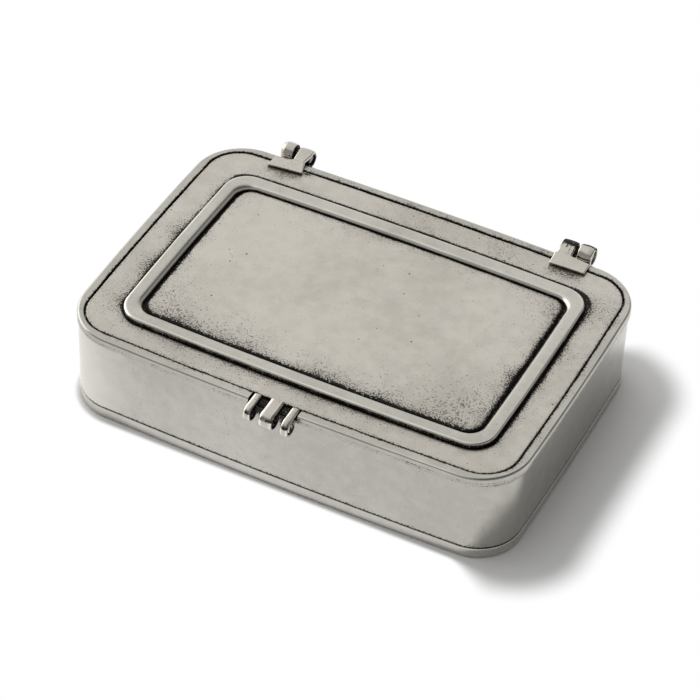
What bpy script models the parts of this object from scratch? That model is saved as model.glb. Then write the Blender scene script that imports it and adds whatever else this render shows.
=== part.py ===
"""Low rectangular pewter keepsake box with a hinged, beaded lid.

Metres, +Z up. The box stands on z = 0 with its middle at the origin, the
clasp faces -Y and the hinges are on the +Y side.
"""
import math

import bmesh
import bpy
from mathutils import Matrix, Vector

# Plan of the rim: overall sizes are taken at the middle of the bowed sides
RIM_LENGTH = 0.1568
RIM_WIDTH = 0.1095
LONG_SIDE_BOW_RADIUS = 2.0
SHORT_SIDE_BOW_RADIUS = 1.575
RIM_CORNER_RADIUS = 0.0177

# Clearance between pieces that are soldered or rest on each other
SEAT_GAP = 0.0003
# How far a cutter runs past what it cuts
OVERRUN = 0.002

# Base plate with its low upturned band
BASE_SETBACK = 0.0007
BASE_CORNER_RADIUS = 0.0154
FLOOR_THICKNESS = 0.0016
BAND_HEIGHT = 0.004
BAND_THICKNESS = 0.0019
BASE_EDGE_ROUND = 0.0006

# Wall sheet
WALL_SETBACK = 0.0009
WALL_CORNER_RADIUS = 0.0152
WALL_THICKNESS = 0.0014
WALL_HEIGHT = 0.0272

# Rim band, which caps the wall and carries the lid on a ledge
RIM_LIP_HEIGHT = 0.0024
RIM_TOP_WIDTH = 0.0032
RIM_EDGE_ROUND = 0.0009
RIM_INNER_CORNER_RADIUS = 0.012
LEDGE_WIDTH = 0.002
LEG_DEPTH = 0.0025
LEG_CORNER_RADIUS = 0.0104

# Lid plate
LID_GAP = 0.00035
LID_THICKNESS = 0.0017
LID_RECESS = 0.0002
LID_EDGE_ROUND = 0.0003
PANEL_LIFT = 0.0005
PANEL_CROWN = 0.0006

# Raised bead round the lid, a little nearer the front than the middle
BEAD_OUTER_INSET = 0.0122
BEAD_INNER_INSET = 0.0176
BEAD_OUTER_CORNER_RADIUS = 0.0088
BEAD_INNER_CORNER_RADIUS = 0.0058
BEAD_SHIFT_RIGHT = 0.0002
BEAD_SHIFT_FORWARD = 0.0015
BEAD_RISE = 0.0017
BEAD_SHOULDER = 0.0013
GROOVE_DEPTH = 0.0006

# Hinges: a strap on the lid and one on the body, each rolled round a pin
KNUCKLE_RADIUS = 0.0031
KNUCKLE_CLEARANCE = 0.0003
AXIS_RISE = 0.0001
STRAP_THICKNESS = 0.001
LEAF_FRONT_EDGE = 0.0007
LEAF_REACH = 0.0098
LEAF_NOTCH_REACH = 0.0048
LEAF_WIDTH = 0.0124
LEAF_END_DISTANCE = 0.0272
HINGE_SHIFT_RIGHT = 0.0004
KNUCKLE_SPACE = 0.001
KNUCKLE_END_SETBACK = 0.0006
BODY_LEAF_DROP = 0.0125
PIN_RECESS = 0.0004

# Front closure: two lugs on the rim and the lid's tab between them
CLASP_SHIFT_LEFT = 0.0008
CLASP_TAB_WIDTH = 0.0047
CLASP_LUG_WIDTH = 0.0027
CLASP_SPACE = 0.0028
CLASP_ROLL_RADIUS = 0.0031
CLASP_RECESS = 0.0011
CLASP_STRAP_THICKNESS = 0.001
CLASP_SIDE_CLEARANCE = 0.0006

# Round stretches: how many straight steps each is drawn with
CORNER_STEPS = 8
LONG_SIDE_STEPS = 10
SHORT_SIDE_STEPS = 8
ROLL_STEPS = 22
PIN_SIDES = 24
ROUND_STEPS = 3

# Heights worked out from the sizes above
BAND_TOP = BAND_HEIGHT
WALL_BOTTOM = BAND_TOP + SEAT_GAP
WALL_TOP = WALL_BOTTOM + WALL_HEIGHT
LIP_BOTTOM = WALL_TOP + SEAT_GAP
RIM_TOP = LIP_BOTTOM + RIM_LIP_HEIGHT
LID_TOP = RIM_TOP - LID_RECESS
LID_BOTTOM = LID_TOP - LID_THICKNESS
LEDGE_TOP = LID_BOTTOM - SEAT_GAP
LEG_BOTTOM = LEDGE_TOP - LEG_DEPTH
GROOVE_FLOOR = LID_TOP - GROOVE_DEPTH
BEAD_BOTTOM = GROOVE_FLOOR + SEAT_GAP
BEAD_TOP = LID_TOP + BEAD_RISE
BEAD_CENTRE = Vector((BEAD_SHIFT_RIGHT, -BEAD_SHIFT_FORWARD))
PANEL_TOP = LID_TOP + PANEL_LIFT

# Shares of the half turn and of the panel's size used by the round shapes
PANEL_RING_SHARES = (0.88, 0.7, 0.45, 0.2)
BODY_WRAP_SHARE = 0.82
LID_WRAP_SHARE = 0.72
CLASP_WRAP_SHARE = 0.86

PEWTER = (0.47, 0.46, 0.435, 1.0)
WORN_PEWTER = (0.56, 0.55, 0.52, 1.0)
DARK_PEWTER = (0.34, 0.33, 0.31, 1.0)


def clear_scene():
    for obj in list(bpy.data.objects):
        bpy.data.objects.remove(obj, do_unlink=True)


def pewter(name, colour, roughness):
    material = bpy.data.materials.new(name)
    material.use_nodes = True
    shader = material.node_tree.nodes["Principled BSDF"]
    shader.inputs["Base Color"].default_value = colour
    shader.inputs["Roughness"].default_value = roughness
    shader.inputs["Metallic"].default_value = 1.0
    material.diffuse_color = colour
    return material


def arc(centre, radius, start, end, steps):
    """Points of an arc from angle start to angle end, without its last point."""
    points = []
    for step in range(steps):
        angle = start + (end - start) * step / steps
        direction = Vector((math.cos(angle), math.sin(angle)))
        points.append(centre + direction * radius)
    return points


def bowed_outline(inset, corner_radius, centre=Vector((0.0, 0.0))):
    """Closed plan outline: four bowed sides joined by four tangent corner arcs."""
    half_length = RIM_LENGTH / 2
    half_width = RIM_WIDTH / 2
    long_radius = LONG_SIDE_BOW_RADIUS - inset
    short_radius = SHORT_SIDE_BOW_RADIUS - inset
    # The bow of the +Y side is centred below the box, that of the +X side left of it
    long_centre = Vector((0.0, half_width - LONG_SIDE_BOW_RADIUS))
    short_centre = Vector((half_length - SHORT_SIDE_BOW_RADIUS, 0.0))
    # The corner's centre lies where both bows, drawn in by its radius, cross
    to_short = short_centre - long_centre
    distance = to_short.length
    reach_long = long_radius - corner_radius
    reach_short = short_radius - corner_radius
    along = (reach_long ** 2 - reach_short ** 2 + distance ** 2) / (2 * distance)
    across = math.sqrt(reach_long ** 2 - along ** 2)
    forward = to_short.normalized()
    sideways = Vector((-forward.y, forward.x))
    corner_centre = long_centre + forward * along + sideways * across
    if corner_centre.x < 0 or corner_centre.y < 0:
        corner_centre = long_centre + forward * along - sideways * across
    to_side = corner_centre - short_centre
    to_long_side = corner_centre - long_centre
    short_angle = math.atan2(to_side.y, to_side.x)
    long_angle = math.atan2(to_long_side.y, to_long_side.x)
    quarter = arc(short_centre, short_radius, 0.0, short_angle, SHORT_SIDE_STEPS // 2)
    quarter += arc(corner_centre, corner_radius, short_angle, long_angle, CORNER_STEPS)
    quarter += arc(long_centre, long_radius, long_angle, math.pi / 2, LONG_SIDE_STEPS // 2)
    middle_of_side = Vector((0.0, half_width - inset))
    second = [Vector((-p.x, p.y)) for p in reversed(quarter[1:])]
    upper = quarter + [middle_of_side] + second
    left_end = Vector((-half_length + inset, 0.0))
    lower = [Vector((p.x, -p.y)) for p in reversed(upper[1:])]
    return [point + centre for point in upper + [left_end] + lower]


def mesh_object(name, vertices, faces, material, smooth_angle=35.0):
    mesh = bpy.data.meshes.new(name)
    mesh.from_pydata(vertices, [], faces)
    work = bmesh.new()
    work.from_mesh(mesh)
    bmesh.ops.recalc_face_normals(work, faces=work.faces)
    work.to_mesh(mesh)
    work.free()
    mesh.shade_smooth()
    mesh.set_sharp_from_angle(angle=math.radians(smooth_angle))
    mesh.materials.append(material)
    obj = bpy.data.objects.new(name, mesh)
    bpy.context.scene.collection.objects.link(obj)
    return obj


def loops_object(name, loops, material, closed):
    """Skin a list of (outline, height) loops; closed joins the last to the first."""
    count = len(loops[0][0])
    vertices = []
    for outline, height in loops:
        vertices += [(point.x, point.y, height) for point in outline]
    faces = []
    bands = len(loops) if closed else len(loops) - 1
    for band in range(bands):
        here = band * count
        there = ((band + 1) % len(loops)) * count
        for i in range(count):
            j = (i + 1) % count
            faces.append((here + i, here + j, there + j, there + i))
    if not closed:
        last = (len(loops) - 1) * count
        faces.append(tuple(reversed(range(count))))
        faces.append(tuple(range(last, last + count)))
    return mesh_object(name, vertices, faces, material)


def make_base():
    edge = bowed_outline(BASE_SETBACK, BASE_CORNER_RADIUS)
    underside = bowed_outline(BASE_SETBACK + BASE_EDGE_ROUND, BASE_CORNER_RADIUS - BASE_EDGE_ROUND)
    inside = bowed_outline(BASE_SETBACK + BAND_THICKNESS, BASE_CORNER_RADIUS - BAND_THICKNESS)
    loops = [
        (underside, 0.0),
        (edge, BASE_EDGE_ROUND),
        (edge, BAND_TOP),
        (inside, BAND_TOP),
        (inside, FLOOR_THICKNESS),
    ]
    return loops_object("base_plate", loops, pewter("base_pewter", PEWTER, 0.42), closed=False)


def make_wall():
    outside = bowed_outline(WALL_SETBACK, WALL_CORNER_RADIUS)
    inside = bowed_outline(WALL_SETBACK + WALL_THICKNESS, WALL_CORNER_RADIUS - WALL_THICKNESS)
    loops = [
        (outside, WALL_BOTTOM),
        (outside, WALL_TOP),
        (inside, WALL_TOP),
        (inside, WALL_BOTTOM),
    ]
    return loops_object("box_wall", loops, pewter("wall_pewter", PEWTER, 0.36), closed=True)


def make_rim():
    leg_inset = WALL_SETBACK + WALL_THICKNESS + SEAT_GAP
    leg_outside = bowed_outline(leg_inset, WALL_CORNER_RADIUS - WALL_THICKNESS - SEAT_GAP)
    edge = bowed_outline(0.0, RIM_CORNER_RADIUS)
    mouth = bowed_outline(RIM_TOP_WIDTH, RIM_INNER_CORNER_RADIUS)
    ledge = bowed_outline(RIM_TOP_WIDTH + LEDGE_WIDTH, LEG_CORNER_RADIUS)
    loops = [(leg_outside, LEG_BOTTOM), (leg_outside, LIP_BOTTOM), (edge, LIP_BOTTOM)]
    for step in range(ROUND_STEPS + 1):
        angle = math.pi / 2 * step / ROUND_STEPS
        inset = RIM_EDGE_ROUND * (1 - math.cos(angle))
        height = RIM_TOP - RIM_EDGE_ROUND * (1 - math.sin(angle))
        loops.append((bowed_outline(inset, RIM_CORNER_RADIUS - inset), height))
    loops += [(mouth, RIM_TOP), (mouth, LEDGE_TOP), (ledge, LEDGE_TOP), (ledge, LEG_BOTTOM)]
    rim = loops_object("top_rim", loops, pewter("rim_pewter", WORN_PEWTER, 0.34), closed=True)
    # A shallow bay in the middle of the front takes the three closure straps
    half_bay = CLASP_TAB_WIDTH / 2 + CLASP_SPACE + CLASP_LUG_WIDTH + CLASP_SIDE_CLEARANCE
    front = -RIM_WIDTH / 2
    top_cut = box_between(
        "bay_top_cutter",
        (-CLASP_SHIFT_LEFT - half_bay, front - OVERRUN, RIM_TOP - CLASP_RECESS),
        (-CLASP_SHIFT_LEFT + half_bay, front + RIM_TOP_WIDTH + OVERRUN, RIM_TOP + OVERRUN),
    )
    front_cut = box_between(
        "bay_front_cutter",
        (-CLASP_SHIFT_LEFT - half_bay, front - OVERRUN, LIP_BOTTOM - OVERRUN),
        (-CLASP_SHIFT_LEFT + half_bay, front + WALL_SETBACK, RIM_TOP + OVERRUN),
    )
    cut(rim, top_cut)
    cut(rim, front_cut)
    return rim


def make_lid():
    lid_inset = RIM_TOP_WIDTH + LID_GAP
    lid_radius = RIM_INNER_CORNER_RADIUS - LID_GAP
    edge = bowed_outline(lid_inset, lid_radius)
    shoulder = bowed_outline(lid_inset + LID_EDGE_ROUND, lid_radius - LID_EDGE_ROUND)
    groove_outside = bowed_outline(
        BEAD_OUTER_INSET - SEAT_GAP, BEAD_OUTER_CORNER_RADIUS + SEAT_GAP, BEAD_CENTRE
    )
    groove_inside = bowed_outline(
        BEAD_INNER_INSET + SEAT_GAP, BEAD_INNER_CORNER_RADIUS - SEAT_GAP, BEAD_CENTRE
    )
    loops = [
        (edge, LID_BOTTOM),
        (edge, LID_TOP - LID_EDGE_ROUND),
        (shoulder, LID_TOP),
        (groove_outside, LID_TOP),
        (groove_outside, GROOVE_FLOOR),
        (groove_inside, GROOVE_FLOOR),
        (groove_inside, PANEL_TOP),
    ]
    # The panel swells gently towards its middle
    for share in PANEL_RING_SHARES:
        ring = [BEAD_CENTRE + (point - BEAD_CENTRE) * share for point in groove_inside]
        loops.append((ring, PANEL_TOP + PANEL_CROWN * (1 - share ** 2)))
    return loops_object("lid_plate", loops, pewter("lid_pewter", PEWTER, 0.33), closed=False)


def make_bead():
    outside = bowed_outline(BEAD_OUTER_INSET, BEAD_OUTER_CORNER_RADIUS, BEAD_CENTRE)
    inside = bowed_outline(BEAD_INNER_INSET, BEAD_INNER_CORNER_RADIUS, BEAD_CENTRE)
    width = BEAD_INNER_INSET - BEAD_OUTER_INSET
    shoulder_share = BEAD_SHOULDER / width
    rise = BEAD_RISE - PANEL_LIFT

    def between(share):
        return [a.lerp(b, share) for a, b in zip(outside, inside)]

    section = [(0.0, BEAD_BOTTOM)]
    for step in range(ROUND_STEPS + 1):
        angle = math.pi / 2 * step / ROUND_STEPS
        share = shoulder_share * (1 - math.cos(angle))
        section.append((share, BEAD_TOP - rise * (1 - math.sin(angle))))
    section += [(1 - share, height) for share, height in reversed(section)]
    loops = [(between(share), height) for share, height in section]
    return loops_object("lid_bead", loops, pewter("bead_pewter", WORN_PEWTER, 0.26), closed=True)


def box_between(name, low, high):
    """Plain box used as a cutter."""
    corners = []
    for x in (low[0], high[0]):
        for y in (low[1], high[1]):
            corners += [(x, y, low[2]), (x, y, high[2])]
    faces = [(0, 1, 3, 2), (4, 6, 7, 5), (0, 4, 5, 1), (2, 3, 7, 6), (0, 2, 6, 4), (1, 5, 7, 3)]
    box = mesh_object(name, corners, faces, pewter(name, DARK_PEWTER, 0.5))
    box.hide_render = True
    box.display_type = "WIRE"
    return box


def cut(target, cutter):
    modifier = target.modifiers.new(cutter.name, "BOOLEAN")
    modifier.operation = "DIFFERENCE"
    modifier.solver = "EXACT"
    modifier.object = cutter


def extrude_along_x(name, profile, x_start, x_end, material, origin):
    """Solid with a closed (y, z) profile between two x planes, placed at origin."""
    count = len(profile)
    vertices = []
    for x in (x_start, x_end):
        vertices += [(x - origin[0], y - origin[1], z - origin[2]) for y, z in profile]
    faces = [tuple(range(count)), tuple(reversed(range(count, 2 * count)))]
    for i in range(count):
        j = (i + 1) % count
        faces.append((i, j, count + j, count + i))
    obj = mesh_object(name, vertices, faces, material)
    obj.location = origin
    return obj


def ring_points(centre, radius, start, end):
    """(y, z) points round a centre, with both ends."""
    points = []
    for step in range(ROLL_STEPS + 1):
        angle = start + (end - start) * step / ROLL_STEPS
        points.append((centre[0] + radius * math.cos(angle), centre[1] + radius * math.sin(angle)))
    return points


def rim_back_at(x):
    """Outer y of the rim's bowed back at a given x."""
    sagitta = LONG_SIDE_BOW_RADIUS - math.sqrt(LONG_SIDE_BOW_RADIUS ** 2 - x ** 2)
    return RIM_WIDTH / 2 - sagitta


# The hinge line lies where the innermost knuckle just clears the rim's rounded edge
AXIS_Z = RIM_TOP + AXIS_RISE
leaf_middle = RIM_LENGTH / 2 - LEAF_END_DISTANCE
innermost_knuckle = leaf_middle - LEAF_WIDTH / 2 - HINGE_SHIFT_RIGHT
round_reach = KNUCKLE_RADIUS + RIM_EDGE_ROUND + KNUCKLE_CLEARANCE
round_drop = AXIS_RISE + RIM_EDGE_ROUND
round_centre_y = rim_back_at(innermost_knuckle) - RIM_EDGE_ROUND
AXIS_Y = round_centre_y + math.sqrt(round_reach ** 2 - round_drop ** 2)
AXIS = (AXIS_Y, AXIS_Z)
ROLL_INSIDE = KNUCKLE_RADIUS - STRAP_THICKNESS


def lid_leaf_profile():
    """Sloped strap that rests on the lid in front and rolls over the pin."""
    front = (AXIS_Y - LEAF_REACH, LID_TOP + SEAT_GAP + LEAF_FRONT_EDGE)
    to_axis = (AXIS_Y - front[0], AXIS_Z - front[1])
    distance = math.hypot(*to_axis)
    slope = math.atan2(to_axis[1], to_axis[0]) + math.asin(KNUCKLE_RADIUS / distance)
    top_angle = slope + math.pi / 2
    end_angle = top_angle - 2 * math.pi * LID_WRAP_SHARE
    foot_run = (STRAP_THICKNESS / math.cos(slope) - LEAF_FRONT_EDGE) / math.tan(slope)
    profile = [(front[0], front[1] - LEAF_FRONT_EDGE), front]
    profile += ring_points(AXIS, KNUCKLE_RADIUS, top_angle, end_angle)
    profile += ring_points(AXIS, ROLL_INSIDE, end_angle, top_angle)
    profile.append((front[0] + foot_run, front[1] - LEAF_FRONT_EDGE))
    return profile


def body_leaf_profile(x_near, x_far):
    """Upright strap on the back of the wall that rolls back over the pin."""
    front_y = AXIS_Y - KNUCKLE_RADIUS
    back_y = front_y + STRAP_THICKNESS
    nearest_wall = max(rim_back_at(x_near), rim_back_at(x_far)) - WALL_SETBACK
    pad_y = nearest_wall + SEAT_GAP
    pad_top = LIP_BOTTOM - SEAT_GAP
    foot = AXIS_Z - BODY_LEAF_DROP
    end_angle = math.pi - 2 * math.pi * BODY_WRAP_SHARE
    profile = [(pad_y, foot), (pad_y, pad_top), (front_y, pad_top)]
    profile += ring_points(AXIS, KNUCKLE_RADIUS, math.pi, end_angle)
    profile += ring_points(AXIS, ROLL_INSIDE, end_angle, math.pi)
    profile.append((back_y, foot))
    return profile


def make_hinge(side_name, side):
    """One rear hinge; side is -1 on the left and 1 on the right."""
    middle = side * leaf_middle + HINGE_SHIFT_RIGHT
    inner = middle - side * LEAF_WIDTH / 2
    outer = middle + side * LEAF_WIDTH / 2
    knuckle_inner = inner + side * KNUCKLE_END_SETBACK
    knuckle_outer = outer - side * KNUCKLE_END_SETBACK
    knuckle_length = (LEAF_WIDTH - 2 * KNUCKLE_END_SETBACK - KNUCKLE_SPACE) / 2
    lid_knuckle_end = knuckle_inner + side * knuckle_length
    body_knuckle_start = knuckle_outer - side * knuckle_length
    origin = (middle, AXIS_Y, AXIS_Z)

    lid_leaf = extrude_along_x(
        side_name + "_hinge_lid_leaf", lid_leaf_profile(), inner, outer,
        pewter(side_name + "_lid_leaf_pewter", WORN_PEWTER, 0.3), origin,
    )
    # The leaf is notched for the body's knuckle, and its roll ends short of the leaf's edge
    notch_y = AXIS_Y - LEAF_NOTCH_REACH
    low_z = AXIS_Z - KNUCKLE_RADIUS - OVERRUN
    high_z = AXIS_Z + KNUCKLE_RADIUS + OVERRUN
    far_y = AXIS_Y + KNUCKLE_RADIUS + OVERRUN
    notches = ((lid_knuckle_end, outer + side * OVERRUN), (inner - side * OVERRUN, knuckle_inner))
    for index, (start, end) in enumerate(notches):
        notch = box_between(
            side_name + "_leaf_notch_" + str(index),
            (min(start, end), notch_y, low_z), (max(start, end), far_y, high_z),
        )
        cut(lid_leaf, notch)

    extrude_along_x(
        side_name + "_hinge_body_leaf", body_leaf_profile(body_knuckle_start, knuckle_outer),
        body_knuckle_start, knuckle_outer,
        pewter(side_name + "_body_leaf_pewter", WORN_PEWTER, 0.3), origin,
    )

    pin_radius = ROLL_INSIDE - SEAT_GAP
    pin_length = abs(knuckle_outer - knuckle_inner) - 2 * PIN_RECESS
    pin_profile = []
    for step in range(PIN_SIDES):
        angle = 2 * math.pi * step / PIN_SIDES
        pin_profile.append((AXIS_Y + pin_radius * math.cos(angle), AXIS_Z + pin_radius * math.sin(angle)))
    pin_middle = (knuckle_inner + knuckle_outer) / 2
    extrude_along_x(
        side_name + "_hinge_pin", pin_profile,
        pin_middle - pin_length / 2, pin_middle + pin_length / 2,
        pewter(side_name + "_pin_pewter", DARK_PEWTER, 0.4), origin,
    )


def clasp_profile():
    """Flat strap across the rim bay that curls down in front of the wall."""
    seat = RIM_TOP - CLASP_RECESS + SEAT_GAP
    start_y = -RIM_WIDTH / 2 + RIM_TOP_WIDTH + LID_GAP - SEAT_GAP
    roll_y = -RIM_WIDTH / 2 + WALL_SETBACK - SEAT_GAP - CLASP_ROLL_RADIUS
    centre = (roll_y, seat + CLASP_STRAP_THICKNESS - CLASP_ROLL_RADIUS)
    inside = CLASP_ROLL_RADIUS - CLASP_STRAP_THICKNESS
    end_angle = math.pi / 2 + 2 * math.pi * CLASP_WRAP_SHARE
    profile = [(start_y, seat), (start_y, seat + CLASP_STRAP_THICKNESS)]
    profile += ring_points(centre, CLASP_ROLL_RADIUS, math.pi / 2, end_angle)
    profile += ring_points(centre, inside, end_angle, math.pi / 2)
    return profile


def make_clasp():
    pitch = CLASP_TAB_WIDTH / 2 + CLASP_SPACE + CLASP_LUG_WIDTH / 2
    straps = (
        ("clasp_left_lug", -CLASP_SHIFT_LEFT - pitch, CLASP_LUG_WIDTH),
        ("clasp_lid_tab", -CLASP_SHIFT_LEFT, CLASP_TAB_WIDTH),
        ("clasp_right_lug", -CLASP_SHIFT_LEFT + pitch, CLASP_LUG_WIDTH),
    )
    for name, middle, width in straps:
        # The lid's tab turns with the lid, so its origin lies on the hinge line
        on_lid = name == "clasp_lid_tab"
        origin = (middle, AXIS_Y, AXIS_Z) if on_lid else (middle, -RIM_WIDTH / 2, RIM_TOP)
        extrude_along_x(
            name, clasp_profile(), middle - width / 2, middle + width / 2,
            pewter(name + "_pewter", WORN_PEWTER, 0.24), origin,
        )


def move_origin(obj, point):
    """Put the origin of an object that was drawn in place at a point."""
    obj.data.transform(Matrix.Translation(-Vector(point)))
    obj.location = point


def main():
    clear_scene()
    make_base()
    make_wall()
    make_rim()
    lid = make_lid()
    bead = make_bead()
    for obj in (lid, bead):
        move_origin(obj, (0.0, AXIS_Y, AXIS_Z))
    make_hinge("left", -1)
    make_hinge("right", 1)
    make_clasp()


main()
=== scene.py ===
"""Pewter keepsake box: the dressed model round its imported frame.

Metres, +Z up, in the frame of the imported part. Every piece is drawn again in
fine mesh code from the frame's boxes and the named sizes below.
"""

import math

import bmesh
import bpy
import numpy as np
from mathutils import Matrix, Vector, noise


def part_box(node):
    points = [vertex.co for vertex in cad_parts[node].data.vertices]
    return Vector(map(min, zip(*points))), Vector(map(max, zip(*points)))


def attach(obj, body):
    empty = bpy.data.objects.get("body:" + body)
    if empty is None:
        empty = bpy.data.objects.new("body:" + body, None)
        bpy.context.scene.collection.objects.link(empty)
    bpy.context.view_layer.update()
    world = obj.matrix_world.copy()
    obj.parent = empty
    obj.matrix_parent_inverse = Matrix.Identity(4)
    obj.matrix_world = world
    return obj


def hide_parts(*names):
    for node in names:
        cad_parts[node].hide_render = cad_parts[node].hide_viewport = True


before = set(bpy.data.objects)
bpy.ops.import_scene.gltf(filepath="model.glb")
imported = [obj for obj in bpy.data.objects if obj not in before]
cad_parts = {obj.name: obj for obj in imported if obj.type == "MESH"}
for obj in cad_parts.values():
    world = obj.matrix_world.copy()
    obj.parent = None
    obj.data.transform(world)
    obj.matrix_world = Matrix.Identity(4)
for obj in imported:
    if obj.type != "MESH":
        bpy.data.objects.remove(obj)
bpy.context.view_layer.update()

MM = 0.001

# Overall size and heights, read from the frame
rim_low, rim_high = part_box("top_rim")
wall_low, wall_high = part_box("box_wall")
bead_low, bead_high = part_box("lid_bead")
RIM_LENGTH = rim_high.x - rim_low.x
RIM_WIDTH = rim_high.y - rim_low.y
RIM_TOP = rim_high.z
LEG_BOTTOM = rim_low.z
WALL_TOP = wall_high.z
WALL_BOTTOM = wall_low.z
BEAD_TOP = bead_high.z
BEAD_BOTTOM = bead_low.z
LID_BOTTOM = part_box("lid_plate")[0].z
BAND_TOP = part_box("base_plate")[1].z

# Plan of the box and sizes of the sheet pieces
LONG_BOW_RADIUS = 2.0
SHORT_BOW_RADIUS = 1.575
BASE_SETBACK = 0.7 * MM
BASE_CORNER_RADIUS = 15.4 * MM
FLOOR_THICKNESS = 1.6 * MM
BAND_THICKNESS = 1.9 * MM
WALL_SETBACK = 0.9 * MM
WALL_CORNER_RADIUS = 15.2 * MM
WALL_THICKNESS = 1.4 * MM
SEAT_GAP = 0.3 * MM
RIM_CORNER_RADIUS = 17.7 * MM
RIM_TOP_WIDTH = 3.2 * MM
RIM_EDGE_ROUND = 0.9 * MM
MOUTH_CORNER_RADIUS = 12.0 * MM
SKIRT_DROP = 0.6 * MM
LEDGE_WIDTH = 2.0 * MM
LEG_CORNER_RADIUS = 10.4 * MM
LID_GAP = 0.35 * MM
LID_THICKNESS = 1.7 * MM
PANEL_LIFT = 0.5 * MM
PANEL_CROWN = 0.6 * MM
BEAD_OUTER_INSET = 12.2 * MM
BEAD_INNER_INSET = 17.6 * MM
BEAD_OUTER_CORNER_RADIUS = 8.8 * MM
BEAD_INNER_CORNER_RADIUS = 5.8 * MM
GROOVE_DEPTH = 0.6 * MM
PANEL_GROOVE_WIDTH = 0.95 * MM
BACK_GROOVE_WIDTH = 0.4 * MM
LID_TOP = LID_BOTTOM + LID_THICKNESS
LEDGE_TOP = LID_BOTTOM - SEAT_GAP
LIP_BOTTOM = WALL_TOP + SEAT_GAP

# The bead was set by hand: a little off centre and drawn in all round
BEAD_CENTRE = np.array([0.37 * MM, -1.45 * MM])
BEAD_REACH_SHARES = np.array([0.980, 0.970])

# The clasp's bay in the front of the rim
BAY_LOW = -9.25 * MM
BAY_HIGH = 7.65 * MM
BAY_TOP = RIM_TOP - 1.1 * MM
BAY_STEP = 0.06 * MM
BAY_CLEARANCE = 6 * BAY_STEP

# How finely the round outlines are drawn, and what counts as one point
CORNER_STEPS = 26
LONG_SIDE_STEPS = 34
SHORT_SIDE_STEPS = 30
MIDDLE_STEPS = 16
MIDDLE_REACH = 12.0 * MM
MERGE_DISTANCE = 0.002 * MM
SLIVER_LENGTH = 0.001 * MM
SHARP_ANGLE = math.radians(40.0)
STRAP_SHARP_ANGLE = math.radians(50.0)


def middle_stations():
    """Distances from the middle of a long side, outermost first, doubled at the bay's ends."""
    stations = list(np.linspace(0.0, MIDDLE_REACH, MIDDLE_STEPS + 1))
    for end in (abs(BAY_LOW), BAY_HIGH):
        stations = [s for s in stations if abs(s - end) > BAY_CLEARANCE]
        stations += [end - BAY_STEP, end + BAY_STEP]
    return np.array(sorted(stations, reverse=True))


def corner_circle(inset, corner_radius):
    """Centre of the corner arc that touches the two bowed sides."""
    long_centre = np.array([0.0, RIM_WIDTH / 2 - LONG_BOW_RADIUS])
    short_centre = np.array([RIM_LENGTH / 2 - SHORT_BOW_RADIUS, 0.0])
    between = short_centre - long_centre
    distance = np.hypot(*between)
    reach_long = LONG_BOW_RADIUS - inset - corner_radius
    reach_short = SHORT_BOW_RADIUS - inset - corner_radius
    along = (reach_long ** 2 - reach_short ** 2 + distance ** 2) / (2 * distance)
    across = math.sqrt(reach_long ** 2 - along ** 2)
    forward = between / distance
    sideways = np.array([forward[1], -forward[0]])
    centre = long_centre + forward * along + sideways * across
    return centre, centre - long_centre, centre - short_centre


def arc(radius, angles):
    return radius * np.stack([np.cos(angles), np.sin(angles)], axis=1)


def outline(inset, corner_radius):
    """Closed plan outline: four bowed sides joined by four tangent corner arcs."""
    corner, from_long, from_short = corner_circle(inset, corner_radius)
    short_angle = math.atan2(from_short[1], from_short[0])
    long_angle = math.atan2(from_long[1], from_long[0])
    short_radius = SHORT_BOW_RADIUS - inset
    long_radius = LONG_BOW_RADIUS - inset
    short_side = arc(short_radius, short_angle * np.arange(SHORT_SIDE_STEPS) / SHORT_SIDE_STEPS)
    short_side[:, 0] += RIM_LENGTH / 2 - SHORT_BOW_RADIUS
    angles = short_angle + (long_angle - short_angle) * np.arange(CORNER_STEPS) / CORNER_STEPS
    round_corner = corner + arc(corner_radius, angles)
    touch = long_radius * math.cos(long_angle)
    x = np.concatenate([
        np.linspace(touch, MIDDLE_REACH, LONG_SIDE_STEPS, endpoint=False),
        middle_stations(),
    ])
    y = RIM_WIDTH / 2 - LONG_BOW_RADIUS + np.sqrt(long_radius ** 2 - x ** 2)
    quarter = np.concatenate([short_side, round_corner, np.stack([x, y], axis=1)])
    upper = np.concatenate([quarter, quarter[-2:0:-1] * (-1, 1)])
    left = np.array([[-RIM_LENGTH / 2 + inset, 0.0]])
    lower = upper[:0:-1] * (1, -1)
    return np.concatenate([upper, left, lower])


def bead_outline(inset, corner_radius):
    return outline(inset, corner_radius) * BEAD_REACH_SHARES + BEAD_CENTRE


def waves(points, wave):
    """Smooth unevenness at each point; a wave is its size, its amount and its seed."""
    size, amount, seed = wave
    values = np.empty(len(points))
    for i, point in enumerate(points):
        height = point[2] if len(point) > 2 else 0.0
        values[i] = noise.noise(Vector((point[0] / size + seed, point[1] / size, height / size)))
    return amount * values


def outward(plan):
    """Unit outward directions of a counterclockwise outline."""
    along = np.roll(plan, -1, axis=0) - np.roll(plan, 1, axis=0)
    along /= np.hypot(along[:, 0], along[:, 1])[:, None]
    return np.stack([along[:, 1], -along[:, 0]], axis=1)


def push(plan, distances):
    """Outline moved outwards, by a distance for each point."""
    return plan + outward(plan) * distances[:, None]


def wander(plan, wave):
    """Outline moved in and out a little, as a hand-worked edge is."""
    return push(plan, waves(plan, wave))


def fade(distance, reach):
    return np.exp(-np.maximum(distance, 0.0) / reach)


def smooth(values, low, high):
    share = np.clip((np.asarray(values) - low) / (high - low), 0.0, 1.0)
    return share * share * (3 - 2 * share)


def facing_back(plan):
    """How far each point of an outline faces backwards, from 0 to 1."""
    return smooth(outward(plan)[:, 1], 0.3, 0.9)


def lift(plan, height):
    """Plan outline set at a height, which may differ from point to point."""
    return np.column_stack([plan, np.broadcast_to(height, (len(plan),))])


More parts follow.
